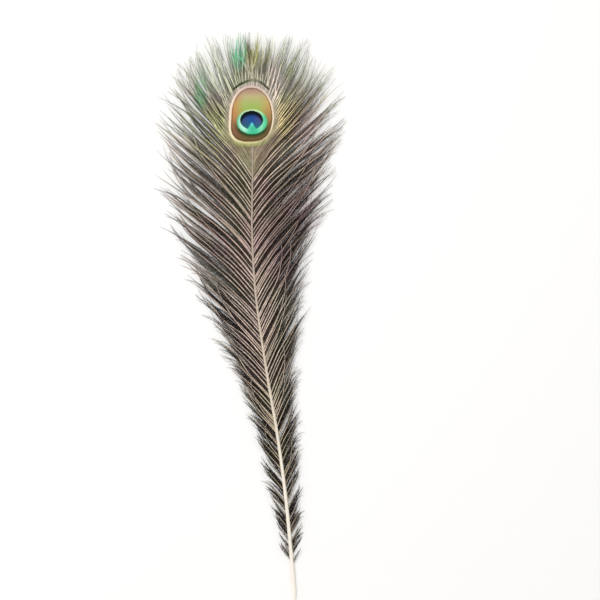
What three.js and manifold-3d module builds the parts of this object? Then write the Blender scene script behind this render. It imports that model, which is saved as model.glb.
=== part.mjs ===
// A peacock's eye feather, lying face up: one shaft, the flat eye vane near its tip and the loose
// barbs on both sides, gathered in locks, grown together as one piece. Millimetres, +Z up.
// The quill points along -Y and the crown along +Y. The origin is under the centre of the eye, on
// the flat underside that the feather rests on.

import * as THREE from "three";
import { mergeVertices } from "three/addons/utils/BufferGeometryUtils.js";
import Module from "manifold-3d";

// Shaft. Places along it are measured from the quill's end, in millimetres.
const QUILL_TO_EYE = 458;
const SHAFT_END = 441;
const SHAFT_STEPS = 40;
const QUILL_WIDTH = 3.6;
const QUILL_HEIGHT = 3.4;
const QUILL_POINT = 9;
const QUILL_POINT_SHARE = 0.45;
const SHAFT_TAPER = 0.9;
const SHAFT_END_WIDTH = 0.9;
const SHAFT_END_HEIGHT = 1.3;

// How far the shaft bows to one side, as [place along the shaft, side] pairs.
const SHAFT_SIDE = [[0, 0], [90, 0.2], [155, -2.4], [220, -7.4], [290, -10.8], [350, -8.8],
  [405, -3.2], [441, 0]];

// Eye vane, an egg shape with its wide end towards the quill.
const EYE_WIDTH = 43;
const EYE_LENGTH = 54;
const EYE_WIDEST = -3;
const EYE_THICKNESS = 1.1;
const EYE_EDGE_BEVEL = 0.4;
const EYE_LEAN = THREE.MathUtils.degToRad(-6);

// Barb locks: [place along the shaft, value] pairs, read along a smooth curve through them.
// A lock leaves the shaft at one angle, ends at another and bows out between the two.
const LOCK_LENGTH = [[46, 20], [100, 32], [160, 49], [220, 83], [270, 106], [320, 119], [380, 122],
  [404, 120], [425, 114], [436, 100], [441, 95]];
const LEAVING_ANGLE = [[46, 33], [150, 30], [300, 31], [380, 31], [404, 29], [425, 19], [436, 8],
  [441, 0]];
const TIP_ANGLE = [[46, 34], [150, 36], [220, 39], [300, 47], [350, 47], [380, 40], [404, 28],
  [425, 15], [436, 6], [441, 0]];
const LOCK_BOW = [[46, 0], [200, 2], [300, 6], [380, 12], [404, 14], [425, 11], [436, 4], [441, 0]];
const LOCK_LINE_STEPS = 20;
const LOWEST_LOCK = 46;
const HIGHEST_SIDE_LOCK = 396;
const SIDE_LOCKS = 25;
const CROWN_FROM = 405;
const CROWN_LOCKS = 9;
const CROWN_CROWDING = 1.6;
const MIDDLE_LOCK_BACK = 2;
const LOCK_STEPS = 7;
const LOCK_WIDTH = 5.4;
const CROWN_LOCK_WIDTH = 7.6;
const LOCK_ROOT_SHARE = 0.45;
const LOCK_FULL_AT = 0.35;
const LOCK_TAPERS_FROM = 0.5;
const LOCK_TIP_SHARE = 0.16;
const LOCK_ROOT_HEIGHT = 1.5;
const LOCK_TIP_HEIGHT = 0.5;
const LENGTH_VARIATION = 0.04;
const ANGLE_VARIATION = 2.2;

const FEATHER_COLOUR = 0x6f655a;

const { degToRad, lerp, smoothstep } = THREE.MathUtils;

const wasm = await Module();
wasm.setup();

// The value at a place, on the smooth curve through a list of [place, value] pairs.
function valueAt(pairs, place) {
  const last = pairs.length - 1;
  const slope = (i) => {
    const [before, after] = [pairs[Math.max(i - 1, 0)], pairs[Math.min(i + 1, last)]];
    return (after[1] - before[1]) / (after[0] - before[0]);
  };
  const found = pairs.findIndex(([at]) => at > place);
  const from = found === -1 ? last - 1 : Math.max(found - 1, 0);
  const [start, startValue] = pairs[from];
  const [end, endValue] = pairs[from + 1];
  const share = (place - start) / (end - start);
  const rest = 1 - share;
  return startValue * rest * rest * (1 + 2 * share) + endValue * share * share * (1 + 2 * rest)
    + (end - start) * share * rest * (slope(from) * rest - slope(from + 1) * share);
}

// A repeatable number from -1 to 1 for each lock, so that no two locks are quite alike.
function unevenness(number) {
  const wave = Math.sin(number * 12.9898) * 43758.5453;
  return 2 * (wave - Math.floor(wave)) - 1;
}

function shaftPoint(place) {
  return new THREE.Vector2(valueAt(SHAFT_SIDE, place), place - QUILL_TO_EYE);
}

// The shaft's direction there, as an angle from +Y towards +X.
function shaftHeading(place) {
  const along = shaftPoint(place + 1).sub(shaftPoint(place - 1));
  return Math.atan2(along.x, along.y);
}

// The centre line of the shaft, from the quill's end to its tip.
class ShaftLine extends THREE.Curve {
  getPoint(share) {
    return shaftPoint(share * SHAFT_END);
  }
}

// A lock's line: it turns steadily from one heading to another, and bows out on the way.
class LockLine extends THREE.Curve {
  constructor(root, heading, turn, bow, length) {
    super();
    Object.assign(this, { root, heading, turn, bow, length });
  }

  getPoint(share) {
    const point = this.root.clone();
    const step = share / LOCK_LINE_STEPS;
    for (let i = 0; i < LOCK_LINE_STEPS; i += 1) {
      const middle = (i + 0.5) * step;
      const heading = this.heading + this.turn * middle + this.bow * Math.sin(Math.PI * middle);
      point.x += this.length * step * Math.sin(heading);
      point.y += this.length * step * Math.cos(heading);
    }
    return point;
  }
}

// Runs a flat-bottomed section, one unit wide and one unit high, along a line on the resting plane.
function sweep(section, line, steps, widthAt, heightAt) {
  const geometry = new THREE.ExtrudeGeometry(section, { depth: 1, steps, bevelEnabled: false });
  const position = geometry.attributes.position;
  for (let i = 0; i < position.count; i += 1) {
    const share = position.getZ(i);
    const centre = line.getPoint(share);
    const along = line.getTangent(share);
    const across = position.getX(i) * widthAt(share);
    position.setXYZ(i, centre.x + along.y * across, centre.y - along.x * across,
      position.getY(i) * heightAt(share));
  }
  return geometry;
}

// A closed three.js geometry as a solid that can be joined to others, with its faces pointing out.
function solid(geometry) {
  const shape = geometry.clone();
  shape.deleteAttribute("normal");
  shape.deleteAttribute("uv");
  const merged = mergeVertices(shape, 1e-4);
  const triVerts = Uint32Array.from(merged.index.array);
  const vertProperties = merged.attributes.position.array;
  if (volume(vertProperties, triVerts) < 0) triVerts.reverse();
  return new wasm.Manifold(new wasm.Mesh({ numProp: 3, vertProperties, triVerts }));
}

function volume(points, triangles) {
  const corner = (i) => new THREE.Vector3().fromArray(points, 3 * triangles[i]);
  let sum = 0;
  for (let i = 0; i < triangles.length; i += 3) {
    sum += corner(i).dot(corner(i + 1).cross(corner(i + 2))) / 6;
  }
  return sum;
}

function shaft() {
  const section = new THREE.Shape([
    new THREE.Vector2(-0.34, 0), new THREE.Vector2(0.34, 0), new THREE.Vector2(0.5, 0.28),
    new THREE.Vector2(0.5, 0.62), new THREE.Vector2(0.27, 1), new THREE.Vector2(-0.27, 1),
    new THREE.Vector2(-0.5, 0.62), new THREE.Vector2(-0.5, 0.28),
  ]);
  const point = (share) => lerp(QUILL_POINT_SHARE, 1, smoothstep(share * SHAFT_END, 0, QUILL_POINT));
  const tapered = (share, from, to) => point(share) * lerp(from, to, share ** SHAFT_TAPER);
  const widthAt = (share) => tapered(share, QUILL_WIDTH, SHAFT_END_WIDTH);
  const heightAt = (share) => tapered(share, QUILL_HEIGHT, SHAFT_END_HEIGHT);
  return solid(sweep(section, new ShaftLine(), SHAFT_STEPS, widthAt, heightAt));
}

// Half a wide ellipse towards the quill and half a longer one towards the crown.
function eyeVane() {
  const outline = new THREE.Shape();
  const side = EYE_WIDTH / 2 - EYE_EDGE_BEVEL;
  const below = EYE_LENGTH / 2 + EYE_WIDEST - EYE_EDGE_BEVEL;
  const above = EYE_LENGTH / 2 - EYE_WIDEST - EYE_EDGE_BEVEL;
  outline.absellipse(0, EYE_WIDEST, side, below, Math.PI, 2 * Math.PI);
  outline.absellipse(0, EYE_WIDEST, side, above, 0, Math.PI);
  const geometry = new THREE.ExtrudeGeometry(outline, {
    depth: EYE_THICKNESS - EYE_EDGE_BEVEL,
    bevelThickness: EYE_EDGE_BEVEL,
    bevelSize: EYE_EDGE_BEVEL,
    bevelSegments: 1,
    curveSegments: 24,
  });
  geometry.rotateZ(EYE_LEAN);
  const position = geometry.attributes.position;
  for (let i = 0; i < position.count; i += 1) {
    position.setZ(i, Math.max(position.getZ(i), 0));
  }
  return solid(geometry);
}

// One lock of barbs, flat underneath with a low ridge along its middle.
function lock(place, side, width, number) {
  const section = new THREE.Shape([
    new THREE.Vector2(-0.5, 0), new THREE.Vector2(0.5, 0), new THREE.Vector2(0, 1),
  ]);
  const uneven = ANGLE_VARIATION * unevenness(number);
  const leaving = degToRad(valueAt(LEAVING_ANGLE, place) + uneven);
  const ending = degToRad(valueAt(TIP_ANGLE, place) + 2 * uneven);
  const length = valueAt(LOCK_LENGTH, place) * (1 + LENGTH_VARIATION * unevenness(number + 0.5));
  const heading = shaftHeading(place) + side * leaving;
  const bow = side * degToRad(valueAt(LOCK_BOW, place));
  const line = new LockLine(shaftPoint(place), heading, side * (ending - leaving), bow, length);
  const swell = (share) => lerp(LOCK_ROOT_SHARE, 1, smoothstep(share, 0, LOCK_FULL_AT));
  const taper = (share) => lerp(1, LOCK_TIP_SHARE, smoothstep(share, LOCK_TAPERS_FROM, 1));
  const widthAt = (share) => width * swell(share) * taper(share);
  const heightAt = (share) => lerp(LOCK_ROOT_HEIGHT, LOCK_TIP_HEIGHT, share);
  return solid(sweep(section, line, LOCK_STEPS, widthAt, heightAt));
}

function sideLocks() {
  const locks = [];
  const step = (HIGHEST_SIDE_LOCK - LOWEST_LOCK) / (SIDE_LOCKS - 1);
  for (let i = 0; i < SIDE_LOCKS; i += 1) {
    const place = LOWEST_LOCK + i * step;
    locks.push(lock(place, -1, LOCK_WIDTH, 2 * i));
    locks.push(lock(place + step / 3, 1, LOCK_WIDTH, 2 * i + 1));
  }
  return locks;
}

// The locks that fan out over the eye vane and past it, closer together towards the middle one.
function crownLocks() {
  const locks = [lock(SHAFT_END - MIDDLE_LOCK_BACK, 0, CROWN_LOCK_WIDTH, 100)];
  for (let i = 0; i < CROWN_LOCKS; i += 1) {
    const share = (i + 0.5) / CROWN_LOCKS;
    const place = lerp(CROWN_FROM, SHAFT_END, 1 - (1 - share) ** CROWN_CROWDING);
    locks.push(lock(place, -1, CROWN_LOCK_WIDTH, 101 + 2 * i));
    locks.push(lock(place, 1, CROWN_LOCK_WIDTH, 102 + 2 * i));
  }
  return locks;
}

function feather() {
  const pieces = [eyeVane(), ...sideLocks(), ...crownLocks()];
  const joined = pieces.reduce((whole, piece) => whole.add(piece), shaft()).getMesh();
  const geometry = new THREE.BufferGeometry();
  geometry.setAttribute("position", new THREE.BufferAttribute(joined.vertProperties, joined.numProp));
  geometry.setIndex(new THREE.BufferAttribute(joined.triVerts, 1));
  geometry.computeVertexNormals();
  const material = new THREE.MeshStandardMaterial({
    color: FEATHER_COLOUR, roughness: 0.55, metalness: 0, flatShading: true,
  });
  const mesh = new THREE.Mesh(geometry, material);
  mesh.name = "feather";
  return mesh;
}

const part = new THREE.Group();
part.add(feather());

export default part;
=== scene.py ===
import math

import bpy
import numpy as np
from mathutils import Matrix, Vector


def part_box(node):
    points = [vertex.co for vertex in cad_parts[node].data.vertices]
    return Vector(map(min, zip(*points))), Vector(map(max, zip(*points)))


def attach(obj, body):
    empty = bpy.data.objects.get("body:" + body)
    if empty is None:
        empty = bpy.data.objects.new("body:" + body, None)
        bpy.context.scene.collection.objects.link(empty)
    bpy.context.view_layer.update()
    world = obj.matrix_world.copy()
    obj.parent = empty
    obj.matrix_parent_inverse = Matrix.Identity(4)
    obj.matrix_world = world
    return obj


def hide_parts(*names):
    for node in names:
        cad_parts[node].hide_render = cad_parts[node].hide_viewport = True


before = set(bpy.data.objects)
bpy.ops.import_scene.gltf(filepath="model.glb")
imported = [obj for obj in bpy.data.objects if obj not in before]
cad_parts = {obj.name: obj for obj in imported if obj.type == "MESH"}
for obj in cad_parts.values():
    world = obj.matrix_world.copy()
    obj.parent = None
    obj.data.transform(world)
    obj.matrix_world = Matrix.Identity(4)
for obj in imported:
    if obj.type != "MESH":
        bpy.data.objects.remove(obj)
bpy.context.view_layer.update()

# A peacock's eye feather, lying face up. Lengths are in millimetres and become metres where a
# mesh, camera or light is made. The middle of the eye is the origin, +Y points to the crown, and
# places along the shaft are measured from the quill's end.
MM = 0.001
NODE = "feather"
BODY = "root"
QUILL_TO_EYE = -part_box(NODE)[0].y / MM
EYE_TO_CROWN = 92
SHAFT_END = 441

# The shaft, as [place, value] pairs that are read along a smooth curve: how far it bows to the
# side, its width and its height.
SHAFT_SIDE = [[0, 0], [90, 0.2], [155, -2.4], [220, -7.4], [290, -10.8], [350, -8.8],
              [405, -3.2], [441, 0]]
SHAFT_WIDTH = [[0, 1.5], [4, 2.7], [9, 3.5], [60, 3.6], [150, 3.1], [250, 2.4], [340, 2.0],
               [410, 1.6], [430, 1.2], [441, 0.5]]
SHAFT_HEIGHT = [[0, 1.5], [4, 2.6], [9, 3.2], [60, 3.3], [150, 2.9], [250, 2.5], [340, 2.2],
                [410, 2.0], [427, 1.8], [434, 1.1], [441, 0.4]]

# The barbs, in the same kind of pairs: length, the angle from the shaft at root and at tip, how
# far a barb bows out between the two, as those beside the eye do before they turn up again, and
# how much wilder than the rest they are.
BARB_LENGTH = [[34, 17], [100, 30], [160, 46], [220, 78], [270, 100], [320, 112], [380, 116],
               [404, 114], [425, 107], [436, 91], [441, 86]]
LEAVING_ANGLE = [[46, 33], [150, 30], [300, 31], [380, 31], [404, 29], [425, 19], [436, 8],
                 [441, 0]]
TIP_ANGLE = [[46, 34], [150, 36], [220, 39], [300, 47], [350, 47], [380, 40], [404, 28],
             [425, 15], [436, 6], [441, 0]]
BARB_BOW = [[46, 0], [200, 2], [300, 6], [380, 12], [404, 14], [425, 11], [436, 4], [441, 0]]
BARB_WILDNESS = [[34, 2.0], [130, 1.45], [250, 1.2], [370, 1.0], [441, 1.0]]

# Where the barbs start, how many there are and how many steps each has.
LOWEST_BARB = 34
MIDDLE_BARB = 240
HIGHEST_SIDE_BARB = 400
LOWER_BARBS = 158
UPPER_BARBS = 118
EYE_BARBS = 100
EYE_BARB_CROWDING = 1.35
SIDE_STEPS = 24
EYE_STEPS = 56
PLACE_JITTER = 0.7
# Towards the quill barbs run out over the first stretch and are thin over the second one.
RUNNING_OUT = (15, 75)
THIN_STRETCH = (90, 220)
THIN_SHARE = 0.65

BARBS_IN_A_WISP = 5
BARBS_TO_A_LIGHT_ONE = 4
ASTRAY_SHARE = 0.09
LIGHT_TONES = (0.7, 1)
DARK_TONES = (0, 0.4)

# How much a barb's length varies, as a share of it: by itself, with its wisp, and at most.
LENGTH_SPREAD = 0.06
WISP_LENGTH_SPREAD = 0.04
LENGTH_LIMITS = (-0.2, 0.1)

# How many degrees barbs stray. They gather to the middle of their wisp, lean with it and by
# themselves, and those that are astray cross the others. A wave is [waves along the barb, degrees].
GATHERING = 0.4
WISP_LEAN = 2.2
OWN_LEAN = 2.6
ASTRAY_LEAN = (-4, 28)
LEANING_STRETCH = (0.12, 1.05)
WAVES = [[1.3, 2.8], [3.1, 2.3], [7.0, 2.0]]
WAVE_GROWTH = 0.6
WISP_CURL = 13
OWN_CURL = 15
MOST_CURL = 42
CURLING_STRETCH = (0.6, 1.1)
CURL_GROWTH = 1.5

# How high barbs lie. The roots' heights are shares of the shaft's height, and light barbs start
# higher than dark ones, but less so by the eye, where they would hide the shaft.
LIGHT_ROOT = 0.75
LIGHT_ROOT_BY_EYE = 0.5
DARK_ROOT = 0.4
BY_EYE_STRETCH = (385, 404)
LIGHT_REST = 1.3
DARK_REST = 0.35
REST_SPREAD = 0.7
SINKING_STRETCH = (0, 0.45)
OWN_LIFT = 0.9
WISP_LIFT = 1.0
ASTRAY_LIFT = 1.2
MOST_LIFT = 2.6
LIFTING_STRETCH = (0.05, 0.8)

# The eye is an egg: half an ellipse above its widest line and half a shorter one below, with
# slightly squared corners (an ellipse's squareness is 2). Its pattern is turned a little against
# the shaft, and the egg's lower half is slanted to the left.
PATTERN_TURN = math.radians(-5.2)
EGG_LEAN = math.radians(1.0)
EGG_SLANT = 0.11
EGG_CENTRE = (0.5, -3.5)
EGG_HALF_WIDTH = 21.2
EGG_ABOVE = 30.9
EGG_BELOW = 23.6
EGG_SQUARE_ABOVE = 2.12
EGG_SQUARE_BELOW = 2.7
EYE_HEIGHT = 1.25


# ---------------------------------------------------------------- camera

# The view is 600 pixels wide, and shows the eye's middle and the quill's end at these pixels.
VIEW_PIXELS = 600
EYE_PIXEL = np.array([251.0, 115.0])
QUILL_PIXEL = np.array([295.0, 600.0])
LENS = 85.0
SENSOR = 36.0


def camera():
    """Looks straight down, turned so that the feather leans a little to the left."""
    along = (EYE_PIXEL - QUILL_PIXEL) * (1, -1)
    mm_per_pixel = QUILL_TO_EYE / np.hypot(*along)
    lean = math.atan2(-along[0], along[1])
    right, up = (VIEW_PIXELS / 2 - EYE_PIXEL) * (1, -1) * mm_per_pixel
    x = right * math.cos(lean) + up * math.sin(lean)
    y = up * math.cos(lean) - right * math.sin(lean)
    height = VIEW_PIXELS * mm_per_pixel * LENS / SENSOR
    bpy.ops.object.camera_add(location=(x * MM, y * MM, height * MM), rotation=(0, 0, -lean))
    made = bpy.context.object
    made.name = "camera"
    made.data.lens = LENS
    made.data.sensor_width = SENSOR
    bpy.context.scene.camera = made


# ---------------------------------------------------------------- lines of the feather

def value_at(pairs, place):
    """The value at a place, on the smooth curve through a list of [place, value] pairs."""
    places, values = np.array(pairs, float).T
    slopes = np.empty(len(places))
    slopes[1:-1] = (values[2:] - values[:-2]) / (places[2:] - places[:-2])
    slopes[0] = (values[1] - values[0]) / (places[1] - places[0])
    slopes[-1] = (values[-1] - values[-2]) / (places[-1] - places[-2])
    i = np.clip(np.searchsorted(places, place, side="right") - 1, 0, len(places) - 2)
    span = places[i + 1] - places[i]
    share = (place - places[i]) / span
    rest = 1 - share
    ends = values[i] * rest**2 * (1 + 2 * share) + values[i + 1] * share**2 * (1 + 2 * rest)
    return ends + span * share * rest * (slopes[i] * rest - slopes[i + 1] * share)


def smooth(value, low, high):
    """0 below low, 1 above high, and a smooth step between them."""
    share = np.clip((value - low) / (high - low), 0, 1)
    return share**2 * (3 - 2 * share)


def blend(low, high, share):
    """From low, where the share is 0, to high, where it is 1."""
    return low + (high - low) * share


def shaft_heading(place):
    """The shaft's direction, as an angle from +Y towards +X."""
    sideways = value_at(SHAFT_SIDE, place + 1) - value_at(SHAFT_SIDE, place - 1)
    return np.arctan2(sideways, 2)


def turned(x, y, angle):
    """The place as seen on axes turned by an angle."""
    return (x * math.cos(angle) + y * math.sin(angle),
            y * math.cos(angle) - x * math.sin(angle))


def egg_distance(points):
    """1 on the eye's edge, less inside it and more outside."""
    x, y = turned(points[..., 0], points[..., 1], PATTERN_TURN)
    across, up = turned(x - EGG_CENTRE[0], y - EGG_CENTRE[1], EGG_LEAN)
    square = np.where(up > 0, EGG_SQUARE_ABOVE, EGG_SQUARE_BELOW)
    across = across - EGG_SLANT * np.minimum(up, 0)
    across = np.abs(across / EGG_HALF_WIDTH)**square
    up = np.abs(up / np.where(up > 0, EGG_ABOVE, EGG_BELOW))**square
    return (across + up)**(1 / square)


class Barbs:
    """Centre lines of barbs in clockwise order, with a point, a heading and a share of the length
    at every step. Neighbours gather in wisps, and one in every few barbs is light and lies on top.
    Some are astray: light ones that cross the others."""

    def __init__(self, places, sides, steps, wildness, seed):
        draw = np.random.default_rng(seed)
        count = len(places)
        self.places, self.sides, self.steps = places, sides, steps
        self.order = np.arange(count)
        group, member = np.divmod(self.order, BARBS_TO_A_LIGHT_ONE)
        chosen = draw.integers(0, BARBS_TO_A_LIGHT_ONE - 1, count)[group]
        self.astray = draw.random(count) < ASTRAY_SHARE
        self.light = (member == chosen) | self.astray
        light_tone, dark_tone = draw.uniform(*LIGHT_TONES, count), draw.uniform(*DARK_TONES, count)
        self.tone = np.where(self.light, light_tone, dark_tone)
        self.share = np.linspace(0, 1, steps + 1)
        self.wisp = np.cumsum(draw.random(count) < 1 / BARBS_IN_A_WISP)

        uneven = LENGTH_SPREAD * draw.normal(size=count) + WISP_LENGTH_SPREAD * self.by_wisp(draw)
        wild = wildness * value_at(BARB_WILDNESS, places)
        self.length = value_at(BARB_LENGTH, places) * (1 + wild * np.clip(uneven, *LENGTH_LIMITS))
        angle = blend(value_at(LEAVING_ANGLE, places)[:, None],
                      value_at(TIP_ANGLE, places)[:, None], self.share)
        angle += value_at(BARB_BOW, places)[:, None] * np.sin(math.pi * self.share)
        stray = wild[:, None] * self.straying(draw, count)
        self.heading = shaft_heading(places)[:, None] + np.radians(
            angle * sides[:, None] + stray)

        middle = (self.heading[:, 1:] + self.heading[:, :-1]) / 2
        step = (self.length / steps)[:, None]
        self.points = np.zeros((count, steps + 1, 3))
        self.points[:, 1:, 0] = np.cumsum(step * np.sin(middle), 1)
        self.points[:, 1:, 1] = np.cumsum(step * np.cos(middle), 1)
        self.points[..., 0] += value_at(SHAFT_SIDE, places)[:, None]
        self.points[..., 1] += (places - QUILL_TO_EYE)[:, None]
        self.points[..., 2] = self.rise(draw, count, wildness)

    def by_wisp(self, draw):
        """A random number for each wisp, given to all its barbs."""
        return draw.normal(size=self.wisp[-1] + 1)[self.wisp]

    def straying(self, draw, count):
        """How many degrees each barb strays from its arc: with its wisp, in waves and in a curl."""
        wisp_middle = np.bincount(self.wisp, self.order) / np.maximum(np.bincount(self.wisp), 1)
        lean = -GATHERING * (self.order - wisp_middle[self.wisp]) + WISP_LEAN * self.by_wisp(draw)
        lean += OWN_LEAN * draw.normal(size=count)
        lean -= np.where(self.astray, self.sides * draw.uniform(*ASTRAY_LEAN, count), 0)
        total = lean[:, None] * smooth(self.share, *LEANING_STRETCH)
        for waves, size in WAVES:
            phase = draw.random((count, 1)) * 2 * math.pi
            wave = np.sin(2 * math.pi * waves * self.share + phase)
            total += size * draw.normal(size=(count, 1)) * wave * self.share**WAVE_GROWTH
        curl = OWN_CURL * draw.normal(size=count) + WISP_CURL * self.by_wisp(draw)
        curl = np.clip(curl, -MOST_CURL, MOST_CURL)
        return total + curl[:, None] * smooth(self.share, *CURLING_STRETCH)**CURL_GROWTH

    def rise(self, draw, count, wildness):
        """Height: from the shaft's flank down to the surface, with loose barbs lifted off it."""
        light_root = blend(LIGHT_ROOT, LIGHT_ROOT_BY_EYE, smooth(self.places, *BY_EYE_STRETCH))
        root = np.where(self.light, light_root, DARK_ROOT) * value_at(SHAFT_HEIGHT, self.places)
        rest = np.where(self.light, LIGHT_REST, DARK_REST)[:, None]
        rest = rest + REST_SPREAD * draw.random((count, 1))
        lift = np.abs(draw.normal(size=count)) * OWN_LIFT
        lift += np.abs(self.by_wisp(draw)) * WISP_LIFT
        lift = np.minimum(wildness * (lift + ASTRAY_LIFT * self.astray), MOST_LIFT)
        low = blend(root[:, None], rest, smooth(self.share, *SINKING_STRETCH))
        return low + lift[:, None] * smooth(self.share, *LIFTING_STRETCH)

    def at(self, barb, share):
        """The point and heading at a share of each named barb's length."""
        step = np.minimum((share * self.steps).astype(int), self.steps - 1)
        part = share * self.steps - step
        point = blend(self.points[barb, step], self.points[barb, step + 1], part[:, None])
        return point, blend(self.heading[barb, step], self.heading[barb, step + 1], part)


def side_barbs(side, lowest, highest, count, seed):
    """Evenly spaced barbs along one side, which thin out towards the quill."""
    draw = np.random.default_rng(seed)
    pitch = (highest - lowest) / count
    places = np.linspace(lowest, highest, count, endpoint=False)
    places += draw.uniform(0, PLACE_JITTER, count) * pitch
    kept_share = blend(THIN_SHARE, 1, smooth(places, *THIN_STRETCH))
    kept_share = smooth(places, *RUNNING_OUT) * kept_share
    places = places[draw.random(count) < kept_share]
    return Barbs(places[::-int(side)], np.full(len(places), side), SIDE_STEPS, 1.0, seed + 1)


def eye_barbs(wildness, seed):
    """From the lowest on the left, round the fan, to the lowest on the right."""
    share = 1 - (1 - np.arange(EYE_BARBS) / EYE_BARBS)**EYE_BARB_CROWDING
    places = blend(HIGHEST_SIDE_BARB, SHAFT_END, share)
    places = np.concatenate([places, [SHAFT_END], places[::-1]])
    sides = np.concatenate([-np.ones(EYE_BARBS), [0], np.ones(EYE_BARBS)])
    return Barbs(places, sides, EYE_STEPS, wildness, seed)


# ---------------------------------------------------------------- meshes

def mesh_piece(name, points, faces, face_map, attributes, material):
    """A piece from points in millimetres, with its map for baking and its point attributes."""
    mesh = bpy.data.meshes.new(name)
    mesh.from_pydata((points * MM).tolist(), [], faces)
    corners = np.empty(len(mesh.loops), int)
    mesh.loops.foreach_get("vertex_index", corners)
    mesh.uv_layers.new(name="OFBake").uv.foreach_set("vector", face_map[corners].ravel())
    for kind, values in attributes.items():
        mesh.attributes.new(kind, "FLOAT", "POINT").data.foreach_set("value", values.ravel())
    mesh.materials.append(material)
    piece = bpy.data.objects.new(name, mesh)
    bpy.context.scene.collection.objects.link(piece)
    dress(piece)


def dress(piece):
    """Every piece rides the one body and takes the place of the one node."""
    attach(piece, BODY)
    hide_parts(NODE)


# Where a rod's two edges and its ridge lie across its strip of the map for baking.
STRIP_LINES = [0.04, 0.5, 0.96]
STRIP_MIDDLE = 0.5


def stems(name, barbs, width, height, material, flat_map=False):
    """A closed three-sided rod for each barb, with a ridge on top and a point at both ends. The
    map for baking has a strip for each rod, or is the view from above where it is flat."""
    count, steps = len(barbs.places), barbs.steps
    right = np.stack([np.cos(barbs.heading), -np.sin(barbs.heading), 0 * barbs.heading], -1)
    half = right * width[..., None] / 2
    ridge = barbs.points + np.stack([0 * height, 0 * height, height], -1)
    rings = np.stack([barbs.points - half, ridge, barbs.points + half], 2)[:, 1:-1]
    inner = rings.reshape(count, -1, 3)
    points = np.concatenate([ridge[:, :1], inner, ridge[:, -1:]], 1)
    per_barb = points.shape[1]

    faces = []
    last = per_barb - 1
    for k in range(steps - 2):
        a, b = 1 + 3 * k, 4 + 3 * k
        faces += [(a + 1, a + 2, b + 2, b + 1), (a, a + 1, b + 1, b), (a + 2, a, b, b + 2)]
    ends = [(0, 3, 2), (0, 2, 1), (0, 1, 3)]
    a = last - 3
    ends += [(a + 1, a + 2, last), (a, a + 1, last), (a + 2, a, last)]
    offsets = np.arange(count) * per_barb
    all_faces = (np.array(faces)[None] + offsets[:, None, None]).reshape(-1, 4).tolist()
    all_faces += (np.array(ends)[None] + offsets[:, None, None]).reshape(-1, 3).tolist()

    share = np.concatenate([[0], np.repeat(barbs.share[1:-1], 3), [1]])
    over = np.concatenate([[STRIP_MIDDLE], np.tile(STRIP_LINES, steps - 1), [STRIP_MIDDLE]])
    along = np.tile(share, (count, 1))
    strip = (np.arange(count)[:, None] + over) / count
    face_map = np.stack([along, strip], -1).reshape(-1, 2)
    points = points.reshape(-1, 3)
    if flat_map:
        low, high = points[:, :2].min(0), points[:, :2].max(0)
        face_map = (points[:, :2] - low) / (high - low)
    marks = {
        "along": along,
        "tone": np.repeat(barbs.tone, per_barb),
        "number": np.repeat(np.arange(count, dtype=float), per_barb),
    }
    mesh_piece(name, points, all_faces, face_map, marks, material)


# Real barbules are far finer and closer. These are as coarse as they need to be to show. A
# barbule's base has a low ridge a little way out, and its angles are those at the barb's root and
# tip. The spreads of length and of the tip's height are from the least to the most.
BARBULE_PITCH = 0.6
BARBULE_HALF_BASE = [[34, 0.44], [90, 0.44], [200, 0.29], [300, 0.29], [441, 0.29]]
BARBULE_RIDGE_OUT = 0.25
BARBULE_RIDGE_HEIGHT = 0.22
BARBULE_JITTER = (0.1, 0.9)
BARBULE_ANGLES = (42, 24)
BARBULE_ANGLE_SPREAD = 6
BARBULE_LENGTH_SPREAD = (0.75, 1.2)
BARBULE_TIP_SPREAD = (-0.3, 0.5)
LOWEST_TIP = 0.12
SHORTEST_BARBULE = 0.25
BARBULE_FACES = np.array([[0, 1, 3], [0, 2, 1], [1, 2, 3], [2, 0, 3]])
# Where its corners lie on the map for baking: in half bases along the barb, and across the strip.
BARBULE_MAP_ALONG = np.array([-1, 1, 0, 2])
BARBULE_MAP_ACROSS = np.array([0, 0, 0.08, 0.46])


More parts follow.
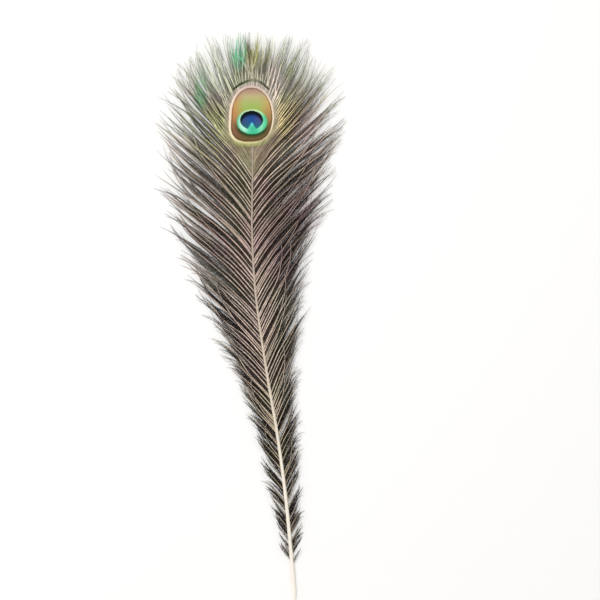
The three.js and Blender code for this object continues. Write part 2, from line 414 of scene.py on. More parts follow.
def barbules(name, barbs, length_at, material, seed, keep=None):
    """A closed spike for each barbule, on both sides of every barb, leaning to the barb's tip."""
    draw = np.random.default_rng(seed)
    counts = (barbs.length / BARBULE_PITCH).astype(int)
    barb = np.repeat(np.arange(len(counts)), counts)
    number = np.arange(len(barb)) - np.repeat(np.cumsum(counts) - counts, counts)
    barb, number = np.tile(barb, 2), np.tile(number, 2)
    count = len(barb)
    side = np.repeat([-1.0, 1.0], count // 2)
    share = np.clip((number + draw.uniform(*BARBULE_JITTER, count)) / counts[barb], 0, 1)
    root, heading = barbs.at(barb, share)
    length = length_at(barbs.places[barb], share) * draw.uniform(*BARBULE_LENGTH_SPREAD, count)
    lean = blend(*BARBULE_ANGLES, share) + draw.normal(size=count) * BARBULE_ANGLE_SPREAD
    angle = heading + side * np.radians(lean)

    forward = np.stack([np.sin(heading), np.cos(heading), 0 * heading], -1)
    outward = np.stack([np.sin(angle), np.cos(angle), 0 * angle], -1)
    up = np.array([0, 0, 1.0])
    tip = root + outward * length[:, None] + up * draw.uniform(*BARBULE_TIP_SPREAD, (count, 1))
    tip[:, 2] = np.maximum(tip[:, 2], LOWEST_TIP)
    half_base = value_at(BARBULE_HALF_BASE, barbs.places[barb])[:, None]
    corners = np.stack([
        root - forward * half_base,
        root + forward * half_base,
        root + outward * BARBULE_RIDGE_OUT + up * BARBULE_RIDGE_HEIGHT,
        tip,
    ], 1)
    kept = length > SHORTEST_BARBULE
    if keep:
        kept = kept & keep(root)
    corners, barb, share, side = corners[kept], barb[kept], share[kept], side[kept]
    half_base = half_base[kept]

    wound = np.where((side > 0)[:, None, None], BARBULE_FACES, BARBULE_FACES[:, ::-1])
    faces = wound + np.arange(len(barb))[:, None, None] * 4
    half = half_base / barbs.length[barb][:, None]
    along = share[:, None] + half * BARBULE_MAP_ALONG
    over = STRIP_MIDDLE + side[:, None] * BARBULE_MAP_ACROSS
    strip = (barb[:, None] + over) / len(barbs.places)
    face_map = np.stack([np.clip(along, 0, 1), strip], -1).reshape(-1, 2)
    marks = {
        "along": np.tile(share[:, None], 4),
        "tone": np.tile(barbs.tone[barb][:, None], 4),
        "number": np.tile(barb[:, None].astype(float), 4),
    }
    mesh_piece(name, corners.reshape(-1, 3), faces.reshape(-1, 3).tolist(), face_map, marks,
               material)


# ---------------------------------------------------------------- shaft

SHAFT_SIDES = 14
QUILL_TIP_PLACES = [0, 2, 4, 6.5, 9]
SHAFT_PLACES = np.linspace(14, 436, 56)
FAR_TIP_PLACES = [439, SHAFT_END]
SHARPEST_SMOOTH_EDGE = math.radians(50)


def shaft(material):
    """A circle at the quill's end, extruded along the shaft and resized at each station."""
    bpy.ops.object.select_all(action="DESELECT")
    places = np.concatenate([QUILL_TIP_PLACES, SHAFT_PLACES, FAR_TIP_PLACES])
    widths, heights = value_at(SHAFT_WIDTH, places), value_at(SHAFT_HEIGHT, places)
    middles = np.stack([
        value_at(SHAFT_SIDE, places), places - QUILL_TO_EYE, heights / 2,
    ], -1) * MM
    bpy.ops.mesh.primitive_circle_add(
        vertices=SHAFT_SIDES, radius=MM / 2, fill_type="NGON", enter_editmode=True,
        location=middles[0], rotation=(math.pi / 2, 0, 0))
    bpy.ops.transform.resize(value=(widths[0], 1, heights[0]), center_override=middles[0])
    for i in range(1, len(places)):
        bpy.ops.mesh.extrude_region_move(
            TRANSFORM_OT_translate={"value": middles[i] - middles[i - 1]})
        size = (widths[i] / widths[i - 1], 1, heights[i] / heights[i - 1])
        bpy.ops.transform.resize(value=size, center_override=middles[i])
    bpy.ops.mesh.select_all(action="SELECT")
    bpy.ops.mesh.normals_make_consistent(inside=False)
    bpy.ops.object.mode_set(mode="OBJECT")
    bpy.ops.object.transform_apply(location=True, rotation=True, scale=True)
    bpy.ops.object.shade_smooth_by_angle(angle=SHARPEST_SMOOTH_EDGE)
    piece = bpy.context.object
    piece.name = "shaft"

    # How far across the shaft each point lies, from -1 to 1, for the painted shade of its groove.
    points = np.array([v.co for v in piece.data.vertices]) / MM
    across = (points[:, 0] - value_at(SHAFT_SIDE, points[:, 1] + QUILL_TO_EYE))
    across = across / value_at(SHAFT_WIDTH, points[:, 1] + QUILL_TO_EYE) * 2
    piece.data.attributes.new("across", "FLOAT", "POINT").data.foreach_set("value", across)
    piece.data.materials.append(material)
    dress(piece)


# ---------------------------------------------------------------- materials

# The sockets of a colour Mix node, and what makes a Mix node one of colours.
FACTOR, UNDER, OVER, MIXED = 0, 6, 7, 2
PAINT = {"out": MIXED, "data_type": "RGBA"}


def linear(hex_colour):
    """An sRGB colour as the linear values that a shader takes."""
    channels = [int(hex_colour[i:i + 2], 16) / 255 for i in (1, 3, 5)]
    return [c / 12.92 if c <= 0.04045 else ((c + 0.055) / 1.055) ** 2.4 for c in channels] + [1]


def add(tree, kind, inputs=(), stops=(), out=0, **settings):
    """Adds a node with its settings, its input values or links, and a ramp's stops."""
    made = tree.nodes.new("ShaderNode" + kind)
    for name, value in settings.items():
        setattr(made, name, value)
    for socket, value in dict(inputs).items():
        if isinstance(value, bpy.types.NodeSocket):
            tree.links.new(value, made.inputs[socket])
        else:
            made.inputs[socket].default_value = value
    for i, (place, colour) in enumerate(stops):
        elements = made.color_ramp.elements
        element = elements[i] if i < len(elements) else elements.new(place)
        element.position = place
        element.color = linear(colour) if isinstance(colour, str) else [colour] * 3 + [1]
    return made.outputs[out]


KERATIN_IOR = 1.55


def keratin(name, colour_of, roughness, gloss):
    """A feather's horn, never metallic."""
    made = bpy.data.materials.new(name)
    made.use_nodes = True
    tree = made.node_tree
    tree.nodes.clear()
    shader = add(tree, "BsdfPrincipled", {
        "Base Color": colour_of(tree), "Roughness": roughness, "IOR": KERATIN_IOR,
        "Specular IOR Level": gloss,
    })
    surface = tree.nodes.new("ShaderNodeOutputMaterial")
    tree.links.new(shader, surface.inputs["Surface"])
    return made


def place_mm(tree):
    """Object coordinates in millimetres."""
    place = add(tree, "TexCoord", out="Object")
    return add(tree, "Mapping", {"Vector": place, "Scale": [1 / MM] * 3})


def ellipse(tree, place, centre, radii, lean=0.0):
    """A place as seen from an ellipse: its length is 1 on the ellipse's line. The third radius is
    so long that height counts for nothing."""
    tall = 1000
    return add(tree, "Mapping", {
        "Vector": place,
        "Location": (*centre, 0),
        "Rotation": (0, 0, lean),
        "Scale": (*radii, tall),
    }, vector_type="TEXTURE")


# The sheen changes by chance over patches some 36 mm across, given as patches to the millimetre.
# It also has patches at set places, most of them round the eye, on the pattern's axes: the centre
# and radii of an ellipse, its colour, and how strong it is on the stems and on the fringe of
# barbules. That strength holds in its core, which is a share of its radii, and fades outwards.
# Some of the set patches are dark, and those marked below are partly painted shade.
SHEEN_PATCHES_PER_MM = 0.028
FRINGE_SHEEN = 0.6
PATCH_CORE = 0.4
SHEEN_AND_SHADE_PATCHES = (
    ((-33, 38), (18, 26), "#c6ccb8", 0.7, 0.7),
    ((-12, 60), (10, 21), "#6cc497", 0.9, 0.9),
    ((6, 59), (14, 17), "#a9a766", 0.7, 0.7),
    ((-60, 0), (18, 26), "#6c7658", 0.4, 0.6),
    ((-47, 22), (8, 24), "#4f9d6c", 0.6, 0.55),
    ((23, 30), (9, 26), "#c9b9b1", 0.7, 0.6),
    ((40, 44), (12, 22), "#8f9a55", 0.35, 0.35),
    ((-33, -7), (18, 24), "#bcc084", 0.6, 0.0),
    # Partly the barbules' own near-black, partly painted shade in the gaps between the light stems
    # on the eye's left flank.
    ((-38, -10), (20, 28), "#23220f", 0.0, 0.85),
    ((-37, -28), (17, 15), "#e2da9c", 0.85, 0.0),
    ((35, -3), (19, 28), "#dcc88a", 0.65, 0.0),
    # Partly the barbules' own near-black, partly painted shade in the gaps between the light stems
    # on the eye's right flank.
    ((35, -5), (21, 30), "#140e05", 0.0, 0.92),
    ((54, -12), (22, 20), "#a8888e", 0.45, 0.2),
    ((48, 24), (22, 38), "#544a3e", 0.15, 0.45),
    # Partly the vane's own darker mauve, partly painted shadow of neighbouring feathers, which are
    # not built.
    ((36, -105), (38, 75), "#2e1d20", 0.4, 0.8),
    ((-56, -62), (26, 34), "#241a13", 0.15, 0.6),
)


def vane_colour(tree, place, along_the_feather, fringe=False):
    """The vane's colour by its height on the feather, with the sheen's green and mauve patches and
    some patches of painted shade. The fringe of barbules takes a darker sheen than the stems."""
    parts = add(tree, "SeparateXYZ", {0: place}).node
    height = add(tree, "MapRange", {
        "Value": parts.outputs["Y"], "From Min": -QUILL_TO_EYE, "From Max": EYE_TO_CROWN,
    })
    coloured = add(tree, "ValToRGB", {0: height}, stops=along_the_feather)
    patch = add(tree, "TexNoise", {
        "Vector": place, "Scale": SHEEN_PATCHES_PER_MM, "Detail": 1.5,
    })
    sheen = add(tree, "ValToRGB", {0: patch}, stops=[
        (0.36, "#7b9066"), (0.46, "#958a6c"), (0.56, "#927b76"), (0.66, "#a9838f"),
    ])
    level = FRINGE_SHEEN if fringe else 1.0
    sheen = add(tree, "VectorMath", {0: sheen, "Scale": level}, operation="SCALE")
    strength = add(tree, "ValToRGB", {0: height}, stops=[
        (0.25, 0.05), (0.55, 0.16), (0.78, 0.28), (0.92, 0.36),
    ])
    coloured = add(tree, "Mix", {FACTOR: strength, UNDER: coloured, OVER: sheen}, **PAINT)
    place = ellipse(tree, place, (0, 0), (1, 1), PATTERN_TURN)
    for centre, radii, colour, on_stem, on_fringe in SHEEN_AND_SHADE_PATCHES:
        inside = add(tree, "VectorMath", {0: ellipse(tree, place, centre, radii)}, out="Value",
                     operation="LENGTH")
        most = on_fringe if fringe else on_stem
        mask = add(tree, "ValToRGB", {0: inside}, stops=[(PATCH_CORE, most), (1.0, 0.0)])
        coloured = add(tree, "Mix", {FACTOR: mask, UNDER: coloured, OVER: linear(colour)},
                       **PAINT)
    return coloured


# How often the streaks change along a barb and from barb to barb: fine ones and broad ones.
STREAKS = ((19, 7.3, 1), (3, 0.4, 1))
STREAK_STRENGTH = 1.4


def streaked(tree, colour, dark, light):
    """Makes whole barbs and small groups of them darker or lighter, unevenly along their length."""
    tone = add(tree, "Attribute", attribute_name="tone", out="Fac")
    along = add(tree, "Attribute", attribute_name="along", out="Fac")
    number = add(tree, "Attribute", attribute_name="number", out="Fac")
    spot = add(tree, "CombineXYZ", {0: along, 1: number})
    level = add(tree, "MapRange", {"Value": tone, "To Min": dark, "To Max": light})
    for scale in STREAKS:
        stretched = add(tree, "Mapping", {"Vector": spot, "Scale": scale})
        uneven = add(tree, "TexNoise", {"Vector": stretched, "Scale": 1.0, "Detail": 2})
        change = add(tree, "MapRange", {
            "Value": uneven, "To Min": 1 - STREAK_STRENGTH / 2, "To Max": 1 + STREAK_STRENGTH / 2,
        })
        level = add(tree, "Math", {0: level, 1: change}, operation="MULTIPLY")
    return add(tree, "VectorMath", {0: colour, "Scale": level}, operation="SCALE")


def barbule_colour(tree):
    """Brown-black with a soft green and mauve sheen, greyer and lighter towards the crown. Below
    the eye its darkest browns are partly painted shade, for the gaps between barbs.
    """
    colour = vane_colour(tree, place_mm(tree), [
        (0.05, "#0b0704"), (0.30, "#0c0705"), (0.45, "#17100b"), (0.60, "#241813"),
        (0.72, "#37291f"), (0.78, "#605442"), (0.84, "#8a866c"), (0.90, "#a9ab93"),
        (1.0, "#b0b69e"),
    ], fringe=True)
    return streaked(tree, colour, 0.45, 1.75)


def stem_colour(tree):
    """The bare stem of a barb: tan near the quill, mauve-pink up the vane, cream by the eye."""
    colour = vane_colour(tree, place_mm(tree), [
        (0.05, "#a39580"), (0.25, "#b3a58d"), (0.42, "#c2b09e"), (0.53, "#cab6a8"),
        (0.64, "#bea59b"), (0.72, "#c6b0a2"), (0.79, "#dccfb8"), (0.86, "#d6d3b8"),
        (1.0, "#c0c6aa"),
    ])
    return streaked(tree, colour, 0.1, 1.4)


# The shaft's fibres, as streaks to the millimetre: 0.4 mm wide and 12.5 mm long, far coarser than
# real ones, so that they show.
FIBRES_PER_MM = (2.5, 0.08, 2.5)


def shaft_colour(tree):
    """Ivory horn, browner and finely streaked towards the eye. There, painted shade darkens its
    middle for a groove that the shaft's shape doesn't have.
    """
    place = place_mm(tree)
    parts = add(tree, "SeparateXYZ", {0: place}).node
    height = add(tree, "MapRange", {
        "Value": parts.outputs["Y"], "From Min": -QUILL_TO_EYE, "From Max": 0,
    })
    horn = add(tree, "ValToRGB", {0: height}, stops=[
        (0.0, "#f3ece0"), (0.30, "#ece2d0"), (0.48, "#cfbfab"), (0.70, "#b5a392"),
        (0.90, "#a8998a"), (1.0, "#b5ae98"),
    ])
    across = add(tree, "Attribute", attribute_name="across", out="Fac")
    middle = add(tree, "Math", {0: across}, operation="ABSOLUTE")
    # Painted shade: a darker stripe down the middle of the shaft near the eye, for a groove that
    # the shape doesn't have.
    groove_shade = add(tree, "ValToRGB", {0: middle}, stops=[(0.08, 0.45), (0.4, 0.0)])
    upper = add(tree, "ValToRGB", {0: height}, stops=[(0.6, 0.0), (0.9, 1.0)])
    groove_shade = add(tree, "Math", {0: groove_shade, 1: upper}, operation="MULTIPLY")
    horn = add(tree, "Mix", {FACTOR: groove_shade, UNDER: horn, OVER: linear("#6f6258")}, **PAINT)
    fibres = add(tree, "Mapping", {"Vector": place, "Scale": FIBRES_PER_MM})
    streak = add(tree, "TexNoise", {"Vector": fibres, "Scale": 1.0, "Detail": 3})
    level = add(tree, "MapRange", {"Value": streak, "To Min": 0.82, "To Max": 1.12})
    return add(tree, "VectorMath", {0: horn, "Scale": level}, operation="SCALE")


# ---------------------------------------------------------------- the eye's pattern

# The eye's inner parts, in millimetres on the pattern's own axes. The lid is the pupil's black
# upper edge: all of the pupil that lies outside an ellipse set a little lower.
SPOT_CENTRE = (1.1, -6.6)
SPOT_RADII = (14.3, 11.6)
PUPIL_CENTRE = (0.6, -4.9)
PUPIL_RADII = (10.7, 8.7)
LID_CENTRE = (0.6, -8.6)
LID_RADII = (10.9, 10.0)
NOTCH_POINT = (1.0, -7.1)
NOTCH_SPREAD = 0.62
# What the rim's ramps span, in millimetres out from the egg's edge, and what the height's ramps
# span, in the egg's own heights.
RIM_INSIDE, RIM_OUTSIDE = -6.0, 10.0
HEIGHT_SPAN = 1.2
# Over how much of the egg's height its corners change from less to more square.
SQUARE_CHANGE = 0.05
# The barbs' fine edges: how often they change and how far they move the pattern, in millimetres.
FRAY_PER_MM = 0.9
FRAY = (1.0, 1.6, 0)
# The dark arc spans this far to both sides, and lies above a line that it fades in over.
ARC_HALF_WIDTH = 20
ARC_FROM, ARC_FULL = 22.6, 24.4


def rim_share(mm):
    """A place on the rim's ramps."""
    return (mm - RIM_INSIDE) / (RIM_OUTSIDE - RIM_INSIDE)


def eye_colour(tree):
    """Close-set barbs: an indigo pupil in turquoise, a green and bronze field, a cream rim."""
    flat = place_mm(tree)
    colour = vane_colour(tree, flat, [
        (0.60, "#94836f"), (0.74, "#998772"), (0.79, "#a3957c"), (0.86, "#c6c6ae"),
        (1.0, "#bcc2a8"),
    ])
    colour = streaked(tree, colour, 0.3, 1.55)
    jitter = add(tree, "TexNoise", {"Vector": flat, "Scale": FRAY_PER_MM, "Detail": 2},
                 out="Color")
    jitter = add(tree, "VectorMath", {0: jitter, 1: (0.5, 0.5, 0.5)}, operation="SUBTRACT")
    place = add(tree, "VectorMath", {0: jitter, 1: FRAY, 2: flat}, operation="MULTIPLY_ADD")
    place = ellipse(tree, place, (0, 0), (1, 1), PATTERN_TURN)
    egg = on_the_egg(tree, place)
    colour = with_halo(tree, colour, egg)
    colour = with_dark_arc(tree, colour, egg, place)
    colour = with_ring(tree, colour, egg)
    colour = with_field(tree, colour, egg)
    colour = with_spot(tree, colour, place)
    return with_pupil(tree, colour, place)


def on_the_egg(tree, place):
    """How far out from the egg's edge, as a share of the rim's ramps. Then how far across the egg
    and how far up it, from -1 to 1, and that height as a share of the height's ramps."""
    egg = ellipse(tree, place, EGG_CENTRE, (EGG_HALF_WIDTH, EGG_ABOVE), EGG_LEAN)
    parts = add(tree, "SeparateXYZ", {0: egg}).node
    low = add(tree, "Math", {0: parts.outputs["Y"], 1: 0.0}, operation="MINIMUM")
    across = add(tree, "Math", {
        0: low, 1: -EGG_SLANT * EGG_ABOVE / EGG_HALF_WIDTH, 2: parts.outputs["X"],
    }, operation="MULTIPLY_ADD")
    up = add(tree, "Math", {0: low, 1: EGG_ABOVE / EGG_BELOW - 1, 2: parts.outputs["Y"]},
             operation="MULTIPLY_ADD")
    sideways = add(tree, "Math", {0: across}, operation="ABSOLUTE")
    upright = add(tree, "Math", {0: up}, operation="ABSOLUTE")
    square = add(tree, "MapRange", {
        "Value": up, "From Min": -SQUARE_CHANGE, "From Max": SQUARE_CHANGE,
        "To Min": EGG_SQUARE_BELOW, "To Max": EGG_SQUARE_ABOVE,
    })
    distance = add(tree, "Math", {
        0: add(tree, "Math", {0: sideways, 1: square}, operation="POWER"),
        1: add(tree, "Math", {0: upright, 1: square}, operation="POWER"),
    }, operation="ADD")
    root = add(tree, "Math", {0: 1.0, 1: square}, operation="DIVIDE")
    distance = add(tree, "Math", {0: distance, 1: root}, operation="POWER")
    from_centre = add(tree, "VectorMath", {0: place, 1: (*EGG_CENTRE, 0)}, out="Value",
                      operation="DISTANCE")
    to_edge = add(tree, "Math", {0: from_centre, 1: distance}, operation="DIVIDE")
    out_mm = add(tree, "Math", {0: from_centre, 1: to_edge}, operation="SUBTRACT")
    rim = add(tree, "MapRange", {
        "Value": out_mm, "From Min": RIM_INSIDE, "From Max": RIM_OUTSIDE,
    })
    height = add(tree, "MapRange", {
        "Value": up, "From Min": -HEIGHT_SPAN, "From Max": HEIGHT_SPAN,
    })
    return rim, across, up, height


def with_halo(tree, colour, egg):
    """A soft band round the rim: yellow-green at the foot, mauve-grey at the top."""
    rim, _, _, height = egg
    halo = add(tree, "ValToRGB", {0: height}, stops=[
        (0.06, "#a9ab70"), (0.16, "#a09a72"), (0.40, "#a0957f"), (0.70, "#aea594"),
        (0.95, "#bdb1a6"),
    ])
    halo = streaked(tree, halo, 0.75, 1.25)
    mask = add(tree, "ValToRGB", {0: rim}, stops=[
        (rim_share(-1), 1.0), (rim_share(2.4), 0.8), (rim_share(4.6), 0.0),
    ])
    return add(tree, "Mix", {FACTOR: mask, UNDER: colour, OVER: halo}, **PAINT)


def with_dark_arc(tree, colour, egg, place):
    """The dark arc over the eye: farther from the rim at the top than at its ends, darkest at both
    ends, and greener and fainter between them."""
    rim = egg[0]
    parts = add(tree, "SeparateXYZ", {0: place}).node
    sideways = add(tree, "MapRange", {
        "Value": parts.outputs["X"], "From Min": -ARC_HALF_WIDTH, "From Max": ARC_HALF_WIDTH,
    })
    rise = add(tree, "ValToRGB", {0: sideways}, stops=[
        (0.08, 0.08), (0.24, 0.08), (0.345, 0.06), (0.475, 0.14), (0.665, 0.14), (0.815, 0.11),
        (0.90, 0.07),
    ])
    arc = add(tree, "Math", {0: rim, 1: rise}, operation="SUBTRACT")
    arc = add(tree, "ValToRGB", {0: arc}, stops=[
        (rim_share(1.4), 0.0), (rim_share(2.3), 1.0), (rim_share(3.6), 0.9),
        (rim_share(4.6), 0.0),
    ])
    above = add(tree, "MapRange", {
        "Value": parts.outputs["Y"], "From Min": ARC_FROM, "From Max": ARC_FULL,
    })
    arc = add(tree, "Math", {0: arc, 1: above}, operation="MULTIPLY")
    strength = add(tree, "ValToRGB", {0: sideways}, stops=[
        (0.30, 1.0), (0.40, 0.95), (0.50, 0.8), (0.66, 0.7), (0.77, 1.0),
    ])
    arc = add(tree, "Math", {0: arc, 1: strength}, operation="MULTIPLY")
    dusk = add(tree, "ValToRGB", {0: sideways}, stops=[
        (0.26, "#1f2a12"), (0.38, "#42562c"), (0.54, "#565e3c"), (0.66, "#4c4c34"),
        (0.78, "#2c2a1a"),
    ])
    return add(tree, "Mix", {FACTOR: arc, UNDER: colour, OVER: dusk}, **PAINT)


def with_ring(tree, colour, egg):
    """The rim's cream ring, duller at its lower right."""
    rim, across, up, height = egg
    ring = add(tree, "ValToRGB", {0: height}, stops=[
        (0.10, "#d0c694"), (0.20, "#e8dbb4"), (0.42, "#ecdabf"), (0.70, "#ecd8c4"),
        (0.90, "#d3beb4"),
    ])
    right = add(tree, "MapRange", {
        "Value": across, "From Min": 0.2, "From Max": 0.6, "To Max": 0.85,
    })
    below = add(tree, "MapRange", {"Value": up, "From Min": -0.35, "From Max": -0.7})
    dull = add(tree, "Math", {0: right, 1: below}, operation="MULTIPLY")
    ring = add(tree, "Mix", {FACTOR: dull, UNDER: ring, OVER: linear("#bfb08c")}, **PAINT)
    mask = add(tree, "ValToRGB", {0: rim}, stops=[
        (rim_share(-0.4), 1.0), (rim_share(0.4), 0.0),
    ])
    return add(tree, "Mix", {FACTOR: mask, UNDER: colour, OVER: ring}, **PAINT)


def with_field(tree, colour, egg):
    """Brown at the foot, green in the middle and mauve at the top, bronze at both sides, and dark
    brown along the edge."""
    rim, across, up, height = egg
    field = add(tree, "ValToRGB", {0: height}, stops=[
        (0.10, "#6e5a38"), (0.30, "#735a3a"), (0.46, "#93853f"), (0.55, "#99b052"),
        (0.68, "#a5b668"), (0.78, "#bcb080"), (0.84, "#b3967f"), (0.92, "#977268"),
    ])
    for way, stops in (
        (-1, [(0.10, "#7d5a40"), (0.26, "#845e46"), (0.42, "#9c7150"), (0.56, "#bd8b59"),
              (0.70, "#c49864"), (0.78, "#b88470"), (0.85, "#a9756c")]),
        (1, [(0.10, "#6e5e3e"), (0.26, "#705f3e"), (0.42, "#8c6e48"), (0.56, "#b08a58"),
             (0.70, "#c4a86a"), (0.80, "#b89e78"), (0.90, "#9a7e6c")]),
    ):
        side = add(tree, "ValToRGB", {0: height}, stops=stops)
        mask = add(tree, "MapRange", {
            "Value": across, "From Min": 0.30 * way, "From Max": 0.74 * way,
        })
        field = add(tree, "Mix", {FACTOR: mask, UNDER: field, OVER: side}, **PAINT)

    # The rim is thinner on the right, so the field reaches further out there.
    thinner = add(tree, "Math", {0: across, 1: -0.03, 2: rim}, operation="MULTIPLY_ADD")
    edge = add(tree, "ValToRGB", {0: thinner}, stops=[
        (rim_share(-3.5), 0.0), (rim_share(-2.5), 1.0),
    ])
    lower = add(tree, "MapRange", {
        "Value": up, "From Min": 0.5, "From Max": -0.5, "To Min": 0.55, "To Max": 0.95,
    })
    edge = add(tree, "Math", {0: edge, 1: lower}, operation="MULTIPLY")
    field = add(tree, "Mix", {FACTOR: edge, UNDER: field, OVER: linear("#553618")}, **PAINT)
    mask = add(tree, "ValToRGB", {0: thinner}, stops=[
        (rim_share(-2.3), 1.0), (rim_share(-1.6), 0.0),
    ])
    return add(tree, "Mix", {FACTOR: mask, UNDER: colour, OVER: field}, **PAINT)


def with_spot(tree, colour, place):
    """The turquoise spot, palest at the lower left, with a dark green shade under it."""
    spot = ellipse(tree, place, SPOT_CENTRE, SPOT_RADII)
    parts = add(tree, "SeparateXYZ", {0: spot}).node
    distance = add(tree, "VectorMath", {0: spot}, out="Value", operation="LENGTH")
    below = add(tree, "MapRange", {
        "Value": parts.outputs["Y"], "From Min": 0.1, "From Max": -0.8,
    })
    shade = add(tree, "MapRange", {
        "Value": distance, "From Min": 1.08, "From Max": 1.34, "To Min": 0.95, "To Max": 0,
    })
    shade = add(tree, "Math", {0: shade, 1: below}, operation="MULTIPLY")
    colour = add(tree, "Mix", {FACTOR: shade, UNDER: colour, OVER: linear("#173f1f")}, **PAINT)

    across = add(tree, "MapRange", {
        "Value": parts.outputs["X"], "From Min": -1, "From Max": 1,
    })
    turquoise = add(tree, "ValToRGB", {0: across}, stops=[
        (0.02, "#8ad0b0"), (0.10, "#b0e6ce"), (0.24, "#b8ecd6"), (0.38, "#62cfae"),
        (0.50, "#44bb95"), (0.64, "#4ec49c"), (0.80, "#8ddcb8"), (0.90, "#66cfa0"),
    ])
    edge = add(tree, "MapRange", {
        "Value": distance, "From Min": 0.84, "From Max": 1.0, "To Max": 0.8,
    })
    turquoise = add(tree, "Mix", {FACTOR: edge, UNDER: turquoise, OVER: linear("#46b07c")},
                    **PAINT)
    top = add(tree, "MapRange", {
        "Value": parts.outputs["Y"], "From Min": 0.45, "From Max": 0.9,
    })
    turquoise = add(tree, "Mix", {FACTOR: top, UNDER: turquoise, OVER: linear("#c8dfb4")},
                    **PAINT)
    mask = add(tree, "MapRange", {"Value": distance, "From Min": 1.04, "From Max": 0.97})
    return add(tree, "Mix", {FACTOR: mask, UNDER: colour, OVER: turquoise}, **PAINT)


def with_pupil(tree, colour, place):
    """Royal blue, slate at the left and violet at the right, under a black lid. A notch is cut up
    into it from below, and is sky blue under its point."""
    pupil = ellipse(tree, place, PUPIL_CENTRE, PUPIL_RADII)
    parts = add(tree, "SeparateXYZ", {0: pupil}).node
    distance = add(tree, "VectorMath", {0: pupil}, out="Value", operation="LENGTH")
    height = add(tree, "MapRange", {
        "Value": parts.outputs["Y"], "From Min": -1, "From Max": 1,
    })
    indigo = add(tree, "ValToRGB", {0: height}, stops=[
        (0.04, "#1f7f78"), (0.18, "#296a80"), (0.36, "#265a90"), (0.58, "#235092"),
        (0.74, "#1e3f7c"), (0.86, "#10244c"),
    ])
    for way, stops in (
        (-1, [(0.10, "#2b6470"), (0.30, "#345678"), (0.55, "#3b4c78"), (0.78, "#212d54")]),
        (1, [(0.10, "#2b667a"), (0.30, "#3f5884"), (0.55, "#514f86"), (0.78, "#292f5e")]),
    ):
        side = add(tree, "ValToRGB", {0: height}, stops=stops)
        mask = add(tree, "MapRange", {
            "Value": parts.outputs["X"], "From Min": 0.15 * way, "From Max": 0.6 * way,
            "To Max": 0.9,
        })
        indigo = add(tree, "Mix", {FACTOR: mask, UNDER: indigo, OVER: side}, **PAINT)
    lid = add(tree, "VectorMath", {0: ellipse(tree, place, LID_CENTRE, LID_RADII)}, out="Value",
              operation="LENGTH")
    mask = add(tree, "MapRange", {"Value": lid, "From Min": 0.78, "From Max": 0.98})
    indigo = add(tree, "Mix", {FACTOR: mask, UNDER: indigo, OVER: linear("#03100f")}, **PAINT)
    whole = add(tree, "MapRange", {"Value": distance, "From Min": 1.05, "From Max": 0.97})

    notch = ellipse(tree, place, NOTCH_POINT, (NOTCH_SPREAD, 1))
    parts = add(tree, "SeparateXYZ", {0: notch}).node
    from_middle = add(tree, "Math", {0: parts.outputs["X"]}, operation="ABSOLUTE")
    drop = add(tree, "Math", {0: from_middle, 1: parts.outputs["Y"]}, operation="ADD")
    outside_notch = add(tree, "MapRange", {"Value": drop, "From Min": -0.4, "From Max": 0.7})
    sky = add(tree, "MapRange", {
        "Value": parts.outputs["Y"], "From Min": -4.6, "From Max": -0.8, "To Max": 0.85,
    })
    sky = add(tree, "Math", {0: sky, 1: whole}, operation="MULTIPLY")
    near = add(tree, "MapRange", {"Value": from_middle, "From Min": 2.6, "From Max": 1.6})
    sky = add(tree, "Math", {0: sky, 1: near}, operation="MULTIPLY")
    colour = add(tree, "Mix", {FACTOR: sky, UNDER: colour, OVER: linear("#72d6e6")}, **PAINT)
    mask = add(tree, "Math", {0: whole, 1: outside_notch}, operation="MULTIPLY")
    return add(tree, "Mix", {FACTOR: mask, UNDER: colour, OVER: indigo}, **PAINT)


# ---------------------------------------------------------------- studio

# In metres and watts.
FLOOR_SIZE = 8
LAMP_PLACE = (-0.9, 0.7, 1.9)
LAMP_AIM = (0, -0.18, 0)
LAMP_SIZE = 1.2
LAMP_POWER = 22
ROOM_LIGHT = 0.85


def studio():
    """A pale floor under soft light from all round, and a large soft lamp up to the left."""
    bpy.ops.object.select_all(action="DESELECT")
    bpy.ops.mesh.primitive_plane_add(size=FLOOR_SIZE)
    floor = bpy.context.object
    floor.name = "floor"
    paint = bpy.data.materials.new("matt white board")
    paint.use_nodes = True
    shader = paint.node_tree.nodes["Principled BSDF"]
    shader.inputs["Base Color"].default_value = linear("#f1f0ee")
    shader.inputs["Roughness"].default_value = 0.9
    floor.data.materials.append(paint)

    world = bpy.data.worlds.new("studio")
    world.use_nodes = True
    world.node_tree.nodes["Background"].inputs["Color"].default_value = (1, 1, 1, 1)
    world.node_tree.nodes["Background"].inputs["Strength"].default_value = ROOM_LIGHT
    bpy.context.scene.world = world

    bpy.ops.object.light_add(type="AREA", location=LAMP_PLACE)
    lamp = bpy.context.object
    lamp.name = "soft box"
    lamp.data.shape = "DISK"
    lamp.data.size = LAMP_SIZE
    lamp.data.energy = LAMP_POWER
    aim = np.array(LAMP_AIM) - np.array(lamp.location)
    flat = math.hypot(aim[0], aim[1])
    lamp.rotation_euler = (math.atan2(flat, -aim[2]), 0, math.atan2(-aim[0], aim[1]))
    bpy.context.scene.view_settings.view_transform = "Standard"


# ---------------------------------------------------------------- the feather

# The stems' width and height, and what they are multiplied by: for light and dark barbs, at the
# tips and on the lowest barbs.
STEM_WIDTH = 0.62
STEM_HEIGHT = 0.42
LIGHT_STEM, DARK_STEM = 1.8, 0.7
SIDE_TIP = 0.4
LOW_STEM = 0.75
LOW_STEM_STRETCH = (60, 200)
LIGHT_EYE_STEM = 1.4
CROWN_TIP = 0.3

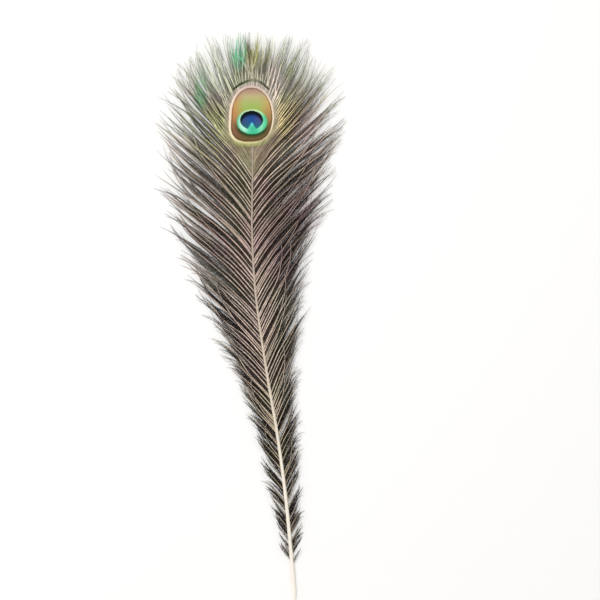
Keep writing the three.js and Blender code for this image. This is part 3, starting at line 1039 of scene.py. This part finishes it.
# In the eye a barb is wider than the gap to the next one, which closes the vane, and its ridge is
# a share of its width. Beyond the eye's edge, which egg_distance gives as 1, barbs let go and rise.
EYE_SEED = 31
CROWN_WILDNESS = 1.0
EYE_BARB_COVER = 1.5
EYE_BARB_RIDGE = 0.35
LETTING_GO = (1.05, 1.7)
NEVER_LOOSE_BELOW = 0.2
LOOSE = (1.1, 1.45)
CROWN_RISE = 0.8
CROWN_RISE_STRETCH = (0.08, 0.4)
BARBULES_FROM = 1.12


def side_barbule_length(place, share):
    """Full over most of the barb, short at its root and tip, and shorter on the lowest barbs."""
    full = blend(1.9, 2.6, smooth(place, 80, 230))
    ends = blend(0.5, 1, smooth(share, 0, 0.15)) * blend(1, 0.2, smooth(share, 0.6, 1.0))
    return full * ends


def crown_barbule_length(place, share):
    """Longest in the tuft straight above the eye, where it stays long nearly to the tips."""
    tuft = smooth(place, 430, 438)
    full = blend(blend(2.3, 1.8, smooth(place, 402, 424)), 2.8, tuft)
    ends = blend(1, 0.18, smooth(share, blend(0.6, 0.74, tuft), 0.98))
    return full * blend(0.6, 1, smooth(share, 0, 0.12)) * ends


def side_vanes(stem, barbule):
    """The barbs below the eye: two stretches on each side."""
    for side, side_name in ((-1.0, "left"), (1.0, "right")):
        for low, high, count, name in (
            (LOWEST_BARB, MIDDLE_BARB, LOWER_BARBS, "lower"),
            (MIDDLE_BARB, HIGHEST_SIDE_BARB, UPPER_BARBS, "upper"),
        ):
            seed = int(low + side)
            barbs = side_barbs(side, low, high, count, seed)
            taper = blend(1, SIDE_TIP, barbs.share)[None]
            width = STEM_WIDTH * np.where(barbs.light, LIGHT_STEM, DARK_STEM)[:, None] * taper
            low_stem = blend(LOW_STEM, 1, smooth(barbs.places, *LOW_STEM_STRETCH))
            width = width * low_stem[:, None]
            height = STEM_HEIGHT * taper + 0 * width
            stems(side_name + "_" + name + "_stems", barbs, width, height, stem)
            barbules(side_name + "_" + name + "_barbules", barbs, side_barbule_length, barbule,
                     seed + 5)


def eye_and_crown(eye, barbule):
    """The barbs that start at the shaft's end: wide and calm in the eye, loose beyond it."""
    calm = eye_barbs(0.0, EYE_SEED)
    barbs = eye_barbs(CROWN_WILDNESS, EYE_SEED)
    gaps = np.linalg.norm(np.gradient(calm.points[..., :2], axis=0), axis=-1)
    let_go = smooth(egg_distance(calm.points), *LETTING_GO)
    let_go = np.maximum.accumulate(np.where(calm.share < NEVER_LOOSE_BELOW, 0, let_go), 1)
    barbs.points = blend(calm.points, barbs.points, let_go[..., None])
    loose = smooth(egg_distance(barbs.points), *LOOSE)
    above = CROWN_RISE * smooth(barbs.share, *CROWN_RISE_STRETCH)
    barbs.points[..., 2] = blend(EYE_HEIGHT, barbs.points[..., 2] + above, loose)
    along = np.diff(barbs.points, axis=1)
    turn = np.arctan2(along[..., 0], along[..., 1])
    barbs.heading = np.concatenate([turn[:, :1], turn], 1)
    taper = blend(1, CROWN_TIP, smooth(barbs.share, 0.4, 1))
    taper = taper * np.where(barbs.light, LIGHT_EYE_STEM, 1)[:, None]
    width = blend(EYE_BARB_COVER * gaps, STEM_WIDTH * taper, loose)
    height = np.minimum(STEM_HEIGHT * taper, EYE_BARB_RIDGE * width)
    stems("eye_barbs", barbs, width, height, eye, flat_map=True)
    barbules("crown_barbules", barbs, crown_barbule_length, barbule, 41,
             keep=lambda points: egg_distance(points) > BARBULES_FROM)


def feather():
    # A fringe of barbules scatters light and looks matt, the bare stems have a faint gloss, the
    # eye's close-set barbs shine a little like satin, and the shaft is smooth horn.
    barbule = keratin("iridescent barbule keratin", barbule_colour, 0.6, 0.06)
    stem = keratin("barb stem keratin", stem_colour, 0.5, 0.25)
    eye = keratin("iridescent eye keratin", eye_colour, 0.55, 0.1)
    shaft(keratin("ivory shaft keratin", shaft_colour, 0.38, 0.5))
    side_vanes(stem, barbule)
    eye_and_crown(eye, barbule)


camera()
feather()
studio()
